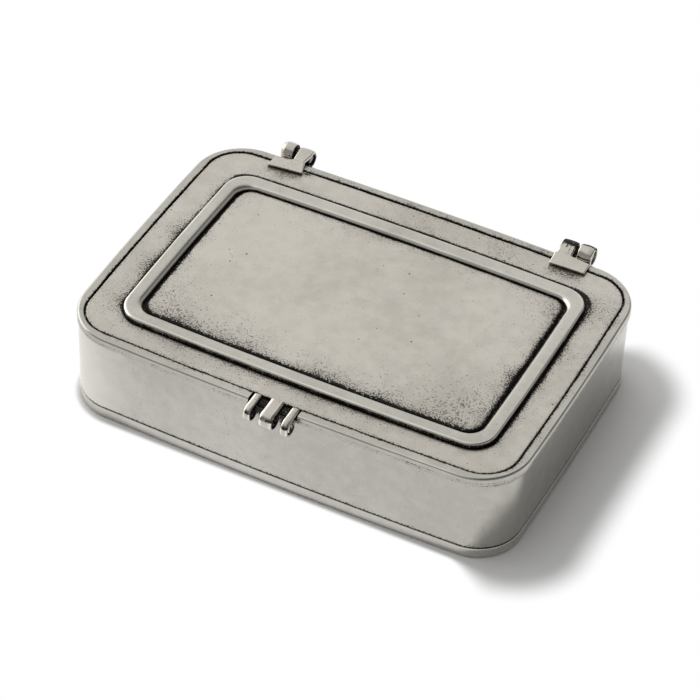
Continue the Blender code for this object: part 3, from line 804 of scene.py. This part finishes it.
class Strap:
    """Rounded flat section swept along a path in the YZ plane."""

    across_steps = 14
    round_steps = 5
    side_stretch = 1.0

    def __init__(self, edge_round, crown, thickness, span, seed):
        self.edge_round = edge_round
        self.crown = crown
        self.thickness = thickness
        self.span = span
        self.swell = (STRAP_WAVE_SIZE, STRAP_WAVE, seed)
        self.stations = []

    def add(self, place, normal, dark=0.0):
        """Station with the thickness and the span in X that the strap has now."""
        self.stations.append((np.array(place), np.array(normal), self.thickness, *self.span, dark))

    def add_roll(self, centre, radii, start, end, steps, dark=0.0):
        """Roll round a centre; the radius may change evenly from the first to the last."""
        for step in range(steps + 1):
            share = step / steps
            angle = start + (end - start) * share
            radius = radii[0] + (radii[1] - radii[0]) * share
            normal = np.array([math.cos(angle), math.sin(angle)])
            self.add(centre + normal * radius, normal, dark)

    def section(self, thickness, x_low, x_high):
        """Points (x, depth below the outer face), then patina-and-shade and polish-and-highlight shares.
        """
        width = x_high - x_low
        outer = min(self.edge_round, thickness * 0.7, width * 0.4)
        side = min(outer * self.side_stretch, width * 0.4)
        inner = min(0.5 * self.edge_round, thickness - outer, width * 0.4)

        # Both edges: setback from the side, depth, patina and polish; the inner round gets painted shade
        # and the left edge more painted highlight
        edge = [(side * rest, outer * fall, 0.0, 0.6 * math.sin(math.pi * share))
                for share, fall, rest in quarter_turn(self.round_steps, first=1)]
        edge += [(inner * fall, thickness - inner * rest, 0.4, 0.0)
                 for share, fall, rest in quarter_turn(2)]
        points = []
        for step in range(self.across_steps + 1):
            share = step / self.across_steps
            bulge = self.crown * (1 - (2 * share - 1) ** 2)
            points.append((x_low + side + (width - 2 * side) * share, -bulge, 0.0, 0.0))
        for setback, depth, dark, polish_and_shine in edge:
            points.append((x_high - setback, depth, dark, polish_and_shine))
        # The inner face, darkened with painted shade
        for share in (0.25, 0.5, 0.75):
            points.append((x_high - inner - (width - 2 * inner) * share, thickness, 0.5, 0.0))
        for setback, depth, dark, polish_and_shine in reversed(edge):
            points.append((x_low + setback, depth, dark, polish_and_shine + 0.4 * (dark == 0)))
        return np.array(points)

    def loop(self, station, inset=0.0, forward=(0.0, 0.0)):
        place, normal, thickness, x_low, x_high, dark = station
        section = self.section(thickness - 2 * inset, x_low + inset, x_high - inset)
        depth = section[:, 1] + inset
        y = place[0] - normal[0] * depth + forward[0]
        z = place[1] - normal[1] * depth + forward[1]
        points = np.column_stack([section[:, 0], y, z])
        swell = waves(points, self.swell)
        points[:, 1] += normal[0] * swell
        points[:, 2] += normal[1] * swell
        return points, section[:, 2] + dark, section[:, 3]

    def rounded_end(self, station, neighbour, turn_shares):
        """Loops that round off the cut end of the strap."""
        ahead = station[0] - neighbour[0]
        end_round = END_ROUND_SHARE * station[2]
        rows = []
        for share in turn_shares:
            angle = math.pi / 2 * share
            forward = ahead / np.hypot(*ahead) * end_round * (math.sin(angle) - 1)
            rows.append(self.loop(station, end_round * (1 - math.cos(angle)), forward))
        return rows

    def piece(self, node, body, slot_name, bend, stain_and_shade):
        stations = self.stations
        rows = self.rounded_end(stations[0], stations[1], END_TURN_SHARES)
        rows += [self.loop(station) for station in stations[1:-1]]
        rows += self.rounded_end(stations[-1], stations[-2], END_TURN_SHARES[::-1])
        loops = Loops()
        for points, dark, polish_and_shine in rows:
            points = bend(points)
            dark = dark + stain_and_shade(points)
            loops.add(points, dark, polish_and_shine * (1 - np.clip(dark * 1.6, 0.0, 1.0)))
        loops.piece(node, body, "strap", slot_name, False, STRAP_SHARP_ANGLE)


# Hinges: the leaf on the lid with its web, tongue and roll
LEAF_SLOPE = math.radians(14.3)
LEAF_TIP_DROP = 0.7 * MM
LEAF_THICKNESS = 1.0 * MM
LEAF_TIP_THICKNESS = 0.7 * MM
LEAF_TAPER = 1.5 * MM
LEAF_EDGE_ROUND = 0.42 * MM
LEAF_CROWN = 0.12 * MM
LEAF_SAG = 0.3 * MM
LEAF_NOTCH_REACH = 4.8 * MM
NOTCH_STEP = 0.25 * MM
WEB_STATIONS = np.array([0.0, 0.25, 0.6, 1.2, 2.0, 3.0, 4.0]) * MM
WEB_END_SPACE = 0.4 * MM
DROOP_ACROSS = (-1.0 * MM, 6.0 * MM)
DROOP_LENGTH = 6.0 * MM
WAIST_REACH = 2.6 * MM
WAIST_DEPTH = 3.0 * MM
KNUCKLE_SPACE = 1.0 * MM
KNUCKLE_END_SETBACK = 0.6 * MM
LID_WRAP_SHARE = 0.72

# The leaf on the body: its pad on the wall, its neck and its knuckle
BODY_EDGE_ROUND = 0.5 * MM
BODY_CROWN = 0.2 * MM
PAD_LOW_STATIONS = np.array([0.0, 0.5, 3.0]) * MM
PAD_HIGH_STATIONS = np.array([-2.0, -0.2]) * MM
NECK_LENGTH = 1.2 * MM
HAMMERED_LENGTH = 2.2 * MM
BODY_WRAP_SHARE = 0.82

# Where the hinges are stained and darkened with painted shade: ranges behind and above the pin's axis, and
# the rest
FRONT_LINE = 0.2 * MM
UNDERSIDE_LINE = 0.15 * MM
ROLL_BAND_BEHIND = (-1.7 * MM, -1.1 * MM)
KNUCKLE_BAND_BEHIND = (0.1 * MM, 0.7 * MM)
BAND_ABOVE = (1.2 * MM, 1.8 * MM)
FILED_BEHIND_NOTCH = (-1.0 * MM, 1.5 * MM)
FILED_STREAKS = (0.6 * MM, 2.2, 3.0)
KNUCKLE_END_LINE = (-0.45 * MM, -0.3 * MM)
KNUCKLE_BELOW = (-0.6 * MM, 0.8 * MM)
KNUCKLE_LIP_SPACE = 0.2 * MM

PIN_DOME = 0.35 * MM
PIN_CHAMFER = 0.1 * MM
PIN_SIDES = 32


def make_hinge(side_name, side, lid_radius, body_radius, sag, roll_drop, waist, skew):
    """One rear hinge, bent and filed by hand; side is -1 on the left and 1 on the right."""
    pin_low, pin_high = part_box(side_name + "_hinge_pin")
    leaf_low, leaf_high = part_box(side_name + "_hinge_lid_leaf")
    body_low, body_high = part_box(side_name + "_hinge_body_leaf")
    axis = np.array([(pin_low.y + pin_high.y) / 2, (pin_low.z + pin_high.z) / 2])
    web = (leaf_low.x, leaf_high.x)
    inner = leaf_high.x if side < 0 else leaf_low.x
    body_start = body_high.x if side < 0 else body_low.x
    knuckle = sorted((inner + side * KNUCKLE_END_SETBACK, body_start - side * KNUCKLE_SPACE))
    notch = axis[0] - LEAF_NOTCH_REACH

    # Lid leaf: a web on the lid, narrowing to the tongue that rolls over the pin
    normal = (-math.sin(LEAF_SLOPE), math.cos(LEAF_SLOPE))
    roll_centre = np.array([axis[0], axis[1] - roll_drop])
    touch = roll_centre + lid_radius * np.array(normal)
    leaf = Strap(LEAF_EDGE_ROUND, LEAF_CROWN, LEAF_TIP_THICKNESS, web, seed=1.0 + side)
    leaf.across_steps = 22
    front = leaf_low.y
    tip = LID_TOP + SEAT_GAP + LEAF_TIP_DROP

    def height_at(y):
        share = (y - front) / (touch[0] - front)
        straight = tip + (touch[1] - tip) * share
        return straight - LEAF_SAG * math.sin(math.pi * min(1.0, share * 1.1))

    for y in (*(front + WEB_STATIONS), notch - NOTCH_STEP):
        full_share = smooth(y - front, 0.0, LEAF_TAPER)
        leaf.thickness = LEAF_TIP_THICKNESS + (LEAF_THICKNESS - LEAF_TIP_THICKNESS) * full_share
        leaf.add((y, height_at(y)), normal)
    leaf.thickness = LEAF_THICKNESS
    leaf.span = knuckle
    for share in (0.0, 0.25, 0.5, 0.75):
        y = notch + (touch[0] - notch) * share
        leaf.add((y, height_at(y)), normal)
    top_angle = LEAF_SLOPE + math.pi / 2
    leaf.add_roll(roll_centre, (lid_radius, lid_radius), top_angle,
                  top_angle - 2 * math.pi * LID_WRAP_SHARE, 30)
    tongue_edge = knuckle[0] if side < 0 else knuckle[1]
    middle = sum(web) / 2
    waist_place = (front + axis[0]) / 2

    def bend(points):
        """The web's free half stays low on the lid, its front is askew and the tongue is waisted."""
        points = points.copy()
        x, y, z = points.T
        away = smooth((x - tongue_edge) * side, *DROOP_ACROSS)
        along = smooth(y, front, front + DROOP_LENGTH)
        z -= np.where(y < notch + WEB_END_SPACE, sag * away * along, 0.0)
        across = (x - middle) / (web[1] - web[0])
        y += skew * across * (1 - along)
        near_waist = np.exp(-((y - waist_place) / WAIST_REACH) ** 2)
        x += side * waist * near_waist * smooth((inner - x) * side, -WAIST_DEPTH, 0.0)
        return points

    def stain_and_shade(points):
        """Painted shade on the front edge and the underside, and on the right hinge a dark band on the
        roll and filed streaks.
        """
        x, y, z = points.T
        front_shade = 0.35 * fade(y - front, FRONT_LINE) * (z < tip - FRONT_LINE)
        underside_shade = 0.9 * (z < LID_TOP + UNDERSIDE_LINE)
        if side < 0:
            return front_shade + underside_shade + 0.1
        high = smooth(z - axis[1], *BAND_ABOVE)
        band = smooth(y - axis[0], *ROLL_BAND_BEHIND) * high
        filed = smooth(y - notch, *FILED_BEHIND_NOTCH) * high
        streak = np.clip(waves(points * (1, 0.1, 0.1), FILED_STREAKS), 0.0, 0.64)
        return front_shade + underside_shade + band + streak * filed

    leaf.piece(side_name + "_hinge_lid_leaf", "lid", "hinge_pewter", bend, stain_and_shade)

    # Body leaf: up the back of the wall, then forward over the pin
    roll_front = axis[0] - body_radius
    pad_thickness = roll_front + LEAF_THICKNESS - body_low.y
    pad_top = LIP_BOTTOM - SEAT_GAP
    forward = (-1.0, 0.0)
    span = (body_low.x, body_high.x)
    body = Strap(BODY_EDGE_ROUND, BODY_CROWN, pad_thickness, span, seed=5.0 + side)
    for z in (*(body_low.z + PAD_LOW_STATIONS), *(pad_top + PAD_HIGH_STATIONS)):
        body.add((body_low.y, z), forward, 0.1)
    body.thickness = LEAF_THICKNESS
    for z in (pad_top, pad_top + NECK_LENGTH):
        body.add((roll_front, z), forward, 0.0 if side < 0 else 0.2)
    body.add_roll(axis, (body_radius, body_radius), math.pi,
                  math.pi - 2 * math.pi * BODY_WRAP_SHARE, 34)

    def body_bend(points):
        """The left knuckle is hammered round at its free end."""
        points = points.copy()
        if side < 0:
            free = smooth(body_low.x - points[:, 0], -HAMMERED_LENGTH, 0.0) ** 2
            shrink = 1 - 0.22 * free * (points[:, 2] > LIP_BOTTOM)
            points[:, 1:] = axis + (points[:, 1:] - axis) * shrink[:, None]
        return points

    def body_stain_and_shade(points):
        """The pad's back is clean; the left knuckle gets painted shade on its end, the right one painted
        shade below it and a dark band behind.
        """
        x, y, z = points.T
        on_back = y > roll_front + 0.5 * LEAF_THICKNESS
        clean = -0.6 * on_back * (z < pad_top)
        if side < 0:
            return clean + smooth(x - body_high.x, *KNUCKLE_END_LINE) * (z > pad_top)
        low = smooth(axis[1] - z, *KNUCKLE_BELOW)
        low = low * (y < axis[0]) * (z > LIP_BOTTOM + KNUCKLE_LIP_SPACE)
        band = smooth(y - axis[0], *KNUCKLE_BAND_BEHIND) * smooth(z - axis[1], *BAND_ABOVE)
        return clean + 0.5 * low + 0.95 * band

    body.piece(side_name + "_hinge_body_leaf", "box_body", "hinge_pewter", body_bend, body_stain_and_shade)

    # Pin with softly domed ends
    radius = (pin_high.z - pin_low.z) / 2
    loops = Loops()
    angles = 2 * math.pi * np.arange(PIN_SIDES) / PIN_SIDES
    end = ((0.0, 0.3), (PIN_CHAMFER, 0.7), (PIN_DOME, 1.0))
    rings = [(pin_low.x + setback, share) for setback, share in end]
    rings += [(pin_high.x - setback, share) for setback, share in reversed(end)]
    for x, share in rings:
        ring = np.column_stack([np.full(PIN_SIDES, x), axis + arc(radius * share, angles)])
        loops.add(ring, 0.75 if share == 1.0 else 0.15)
    loops.piece(side_name + "_hinge_pin", "box_body", "pin", "pin_pewter", closed=False)


CLASP_THICKNESS = 1.0 * MM
CLASP_EDGE_ROUND = 0.7 * MM
CLASP_CROWN = 0.06 * MM
CLASP_DROP = 0.25 * MM
CLASP_COIL_GAP = 0.07 * MM
CLASP_COIL_STEP = 0.05 * MM
CLASP_ROOT_HEIGHT = 0.15 * MM
CLASP_WALL_GAP = 0.25 * MM
CLASP_ARCH_STEPS = 9
CLASP_SKIN = 0.35 * MM
CLASP_END_LINE = (-0.3 * MM, -0.15 * MM)
CLASP_STREAKS = (1.1 * MM, 0.6, 2.0)
REFLECTION_ACROSS = (0.3 * MM, 0.8 * MM)
REFLECTION_WAVE = (0.7 * MM, 0.5, 6.0)


def make_clasp(name, body, radius, drop=CLASP_DROP, root_shift=0.0, end_shade=1.0):
    """Strap that arches out of the rim or lid and curls in on itself in front of the wall."""
    low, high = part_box(name)
    strap = Strap(CLASP_EDGE_ROUND, CLASP_CROWN, CLASP_THICKNESS, (low.x, high.x), seed=low.x / MM)
    strap.side_stretch = 1.9 if body == "lid" else 1.25
    strap.across_steps = 10
    front_wall = -RIM_WIDTH / 2 + WALL_SETBACK
    centre = np.array([front_wall - CLASP_WALL_GAP - radius, high.z - drop - radius])
    root = np.array([high.y + root_shift, RIM_TOP + CLASP_ROOT_HEIGHT])
    arch = centre + (0.0, radius) - root
    quarter = math.pi / 2
    for step in range(CLASP_ARCH_STEPS):
        share = step / CLASP_ARCH_STEPS
        place = root + arch * (share, math.sin(quarter * share))
        slope = arch[1] * quarter * math.cos(quarter * share) / arch[0]
        length = math.hypot(1.0, slope)
        strap.add(place, (-slope / length, 1.0 / length), 0.25 if step < 2 else 0.0)

    # One turn round the centre, then a tighter coil inside it, darkened with painted shade
    pitch = CLASP_THICKNESS + CLASP_COIL_GAP
    curl_shade = 0.45 * end_shade
    strap.add_roll(centre, (radius, radius), quarter, 3.6 * quarter, 30)
    radii = (radius - CLASP_COIL_STEP, radius - pitch)
    strap.add_roll(centre, radii, 3.65 * quarter, 5 * quarter, 12, curl_shade)
    strap.thickness = CLASP_THICKNESS * 0.93
    radii = (radius - pitch, radius - 1.75 * pitch)
    strap.add_roll(centre, radii, 5.1 * quarter, 9 * quarter, 20, curl_shade)

    def stain_and_shade(points):
        """Painted shade in streaks on the coil's right end and inside it, and a painted dark reflection
        low on its front.
        """
        x, y, z = points.T
        streak = np.clip(end_shade + waves(points, CLASP_STREAKS), 0.0, 1.0)
        inside = np.hypot(y - centre[0], z - centre[1]) < radius - CLASP_SKIN
        end = smooth(x - high.x, *CLASP_END_LINE)
        height = (z - centre[1]) / radius
        dark_reflection = smooth(-height, -0.9, -0.55) * smooth(height, 0.3, 0.42) * (y < centre[0])
        dark_reflection *= smooth(x - low.x, *REFLECTION_ACROSS) * (0.75 + waves(points, REFLECTION_WAVE))
        return np.where(inside, streak, end * end_shade + dark_reflection)

    strap.piece(name, body, "clasp_pewter", np.copy, stain_and_shade)


make_base()
make_wall()
make_rim()
make_lid()
make_bead()
make_hinge("left", -1, lid_radius=2.9 * MM, body_radius=2.95 * MM, sag=1.2 * MM,
           roll_drop=0.4 * MM, waist=1.2 * MM, skew=1.4 * MM)
make_hinge("right", 1, lid_radius=2.85 * MM, body_radius=3.1 * MM, sag=0.5 * MM,
           roll_drop=0.0, waist=0.0, skew=0.4 * MM)
make_clasp("clasp_left_lug", "box_body", radius=2.85 * MM)
make_clasp("clasp_lid_tab", "lid", radius=3.0 * MM, root_shift=0.8 * MM)
make_clasp("clasp_right_lug", "box_body", radius=3.1 * MM, drop=0.3 * MM, end_shade=0.25)

# Floor, light and camera

FLOOR_REACH = 4.0
FLOOR_DROP = 0.2 * MM
FLOOR_COLOUR = (0.94, 0.94, 0.94, 1.0)
SHADOW_STRETCH = 14.0 * MM
SHADOW_CORNER_RADIUS = 18.0 * MM
CONTACT_SOFTNESS = 2.0 * MM
SHADOW_SOFTNESS = 12.0 * MM


def make_floor():
    """Matt floor that keeps the box's shadow beside it and turns to plain white further out."""
    mesh = bpy.data.meshes.new("studio_floor")
    signs = ((-1, -1), (1, -1), (1, 1), (-1, 1))
    mesh.from_pydata([(x * FLOOR_REACH, y * FLOOR_REACH, 0.0) for x, y in signs], [], [(0, 1, 2, 3)])
    floor = add_object("studio_floor", mesh)
    floor.location.z = -FLOOR_DROP
    material = bpy.data.materials.new("studio_floor_look")
    tree = Tree(material)
    shader = tree.nodes["Principled BSDF"]
    tree.fill(shader, {"Base Color": FLOOR_COLOUR, "Roughness": 0.9, "Specular IOR Level": 0.0})

    # Distance from the box's footprint, stretched to the right where the shadow falls
    parts = tree.split("Object")
    squared = 0.0
    for part, middle, reach in (("Y", 0.0, RIM_WIDTH / 2),
                                ("X", SHADOW_STRETCH / 2, (RIM_LENGTH + SHADOW_STRETCH) / 2)):
        off = tree.math("ABSOLUTE", tree.math("SUBTRACT", parts[part], middle))
        off = tree.math("MAXIMUM", tree.math("SUBTRACT", off, reach - SHADOW_CORNER_RADIUS), 0.0)
        squared = tree.math("MULTIPLY_ADD", off, off, squared)
    distance = tree.math("SUBTRACT", tree.math("SQRT", squared), SHADOW_CORNER_RADIUS - BASE_SETBACK)
    softness = tree.ramp(parts["X"], RIM_LENGTH / 2 - SHADOW_CORNER_RADIUS, RIM_LENGTH / 2,
                         CONTACT_SOFTNESS, SHADOW_SOFTNESS)
    white = tree.ramp(tree.math("DIVIDE", distance, softness), 0.0, 1.0)

    # The white belongs to the backdrop as it is seen, directly or in metal
    path = tree.nodes.new("ShaderNodeLightPath")
    seen = tree.math("ADD", path.outputs["Is Camera Ray"], path.outputs["Is Glossy Ray"])
    seen = tree.math("ADD", seen, path.outputs["Is Transmission Ray"], clamp=True)
    glow = tree.nodes.new("ShaderNodeEmission")
    glow.inputs["Strength"].default_value = 1.0
    blend = tree.nodes.new("ShaderNodeMixShader")
    tree.put(blend.inputs["Fac"], tree.math("MULTIPLY", white, seen))
    tree.links.new(shader.outputs["BSDF"], blend.inputs[1])
    tree.links.new(glow.outputs["Emission"], blend.inputs[2])
    tree.links.new(blend.outputs["Shader"], tree.nodes["Material Output"].inputs["Surface"])
    mesh.materials.append(material)


LAMP_PLACE = Vector((-2.4, 0.3, 0.95))
LAMP_TARGET = Vector((0.0, 0.0, 0.02))
LAMP_LENGTH = 3.2
LAMP_HEIGHT = 1.8
LAMP_POWER = 20.0


def make_lamp():
    """Wide softbox on the left."""
    light = bpy.data.lights.new("left_softbox", "AREA")
    light.shape = "RECTANGLE"
    light.size = LAMP_LENGTH
    light.size_y = LAMP_HEIGHT
    light.energy = LAMP_POWER
    lamp = add_object("left_softbox", light)
    lamp.location = LAMP_PLACE
    lamp.rotation_euler = (LAMP_TARGET - LAMP_PLACE).to_track_quat("-Z", "Y").to_euler()


SKY_DIM = 0.14
SKY_BRIGHT = 0.84
SKY_LOW_GLOW = 0.25
SKY_COLOUR = (1.0, 0.995, 0.985, 1.0)


def studio_world():
    """White tent, dim on the right and low in front, with a faint glow near the floor there."""
    world = bpy.data.worlds.new("studio_world")
    bpy.context.scene.world = world
    tree = Tree(world)
    background = tree.nodes["Background"]
    parts = tree.split("Generated")
    left = tree.ramp(parts["X"], -0.12, 0.24, 1.0, 0.0)
    front = tree.ramp(parts["Y"], -0.45, -0.1, 1.0, 0.0)
    low = tree.ramp(parts["Z"], 0.5, 0.95, 1.0, 0.0)
    open_share = tree.math("SUBTRACT", 1.0, tree.math("MULTIPLY", front, low))
    lit = tree.math("MULTIPLY", open_share, left)
    near_floor = tree.ramp(parts["Z"], 0.45, 0.65, 1.0, 0.0)
    low_glow = tree.math("MULTIPLY", tree.math("SUBTRACT", 1.0, lit), near_floor)
    strength = tree.weigh((lit, SKY_BRIGHT), (low_glow, SKY_LOW_GLOW), start=SKY_DIM)
    tree.fill(background, {"Strength": strength, "Color": SKY_COLOUR})


CAMERA_PLACE = (300.6 * MM, -646.1 * MM, 668.7 * MM)
CAMERA_AZIMUTH = math.radians(25.0456)
CAMERA_ELEVATION = math.radians(42.566)
CAMERA_ROLL = math.radians(-2.7916)
CAMERA_NEAR = 0.01
CAMERA_FAR = 30.0
PHOTO_WIDTH_PX = 700
FOCAL_LENGTH_PX = 3016.7


def make_camera():
    camera = bpy.data.cameras.new("photo_camera")
    camera.sensor_width = 36.0
    camera.lens = camera.sensor_width * FOCAL_LENGTH_PX / PHOTO_WIDTH_PX
    camera.clip_start = CAMERA_NEAR
    camera.clip_end = CAMERA_FAR
    holder = add_object("photo_camera", camera)
    pose = Matrix.Translation(CAMERA_PLACE)
    for angle, axis in ((CAMERA_AZIMUTH, "Z"), (math.pi / 2 - CAMERA_ELEVATION, "X"), (-CAMERA_ROLL, "Z")):
        pose = pose @ Matrix.Rotation(angle, 4, axis)
    holder.matrix_world = pose
    bpy.context.scene.camera = holder


make_floor()
studio_world()
make_lamp()
make_camera()

scene = bpy.context.scene
scene.view_settings.view_transform = "Standard"
